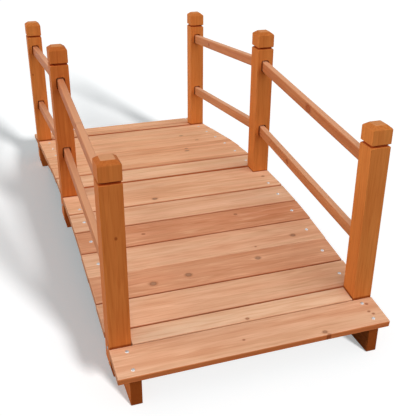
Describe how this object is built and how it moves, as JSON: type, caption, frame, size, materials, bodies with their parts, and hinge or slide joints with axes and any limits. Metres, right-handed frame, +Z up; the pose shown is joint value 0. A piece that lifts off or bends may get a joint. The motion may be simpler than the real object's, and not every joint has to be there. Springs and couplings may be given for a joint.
{
  "type": "arched garden footbridge",
  "caption": "Low-arched wooden garden footbridge with a board deck on sawn side beams, square capped posts and straight rails along both sides.",
  "frame": {"origin": "on the ground under the middle of the span, midway between the sides", "axes": "+Y along the span from the near end to the far end, +X across the deck to the right, +Z up"},
  "size_m": [0.6, 1.392, 0.558],
  "materials": {
    "deck_wood": "stained softwood, satin",
    "post_wood": "stained softwood, satin",
    "rail_wood": "stained softwood, satin",
    "beam_wood": "stained softwood, satin",
    "screw_steel": "zinc plated screws"
  },
  "bodies": {
    "root": {"left_beam": "beam_wood", "right_beam": "beam_wood", "near_end_board": "deck_wood", "far_end_board": "deck_wood", "near_cross_rail": "deck_wood", "far_cross_rail": "deck_wood", "mid_board": "deck_wood", "near_board_1": "deck_wood", "near_board_2": "deck_wood", "near_board_3": "deck_wood", "near_board_4": "deck_wood", "near_board_5": "deck_wood", "far_board_1": "deck_wood", "far_board_2": "deck_wood", "far_board_3": "deck_wood", "far_board_4": "deck_wood", "far_board_5": "deck_wood", "far_board_6": "deck_wood", "near_left_post": "post_wood", "near_right_post": "post_wood", "mid_left_post": "post_wood", "mid_right_post": "post_wood", "far_left_post": "post_wood", "far_right_post": "post_wood", "near_left_low_rail": "rail_wood", "near_left_top_rail": "rail_wood", "near_right_low_rail": "rail_wood", "near_right_top_rail": "rail_wood", "far_left_low_rail": "rail_wood", "far_left_top_rail": "rail_wood", "far_right_low_rail": "rail_wood", "far_right_top_rail": "rail_wood"}
  },
  "joints": []
}
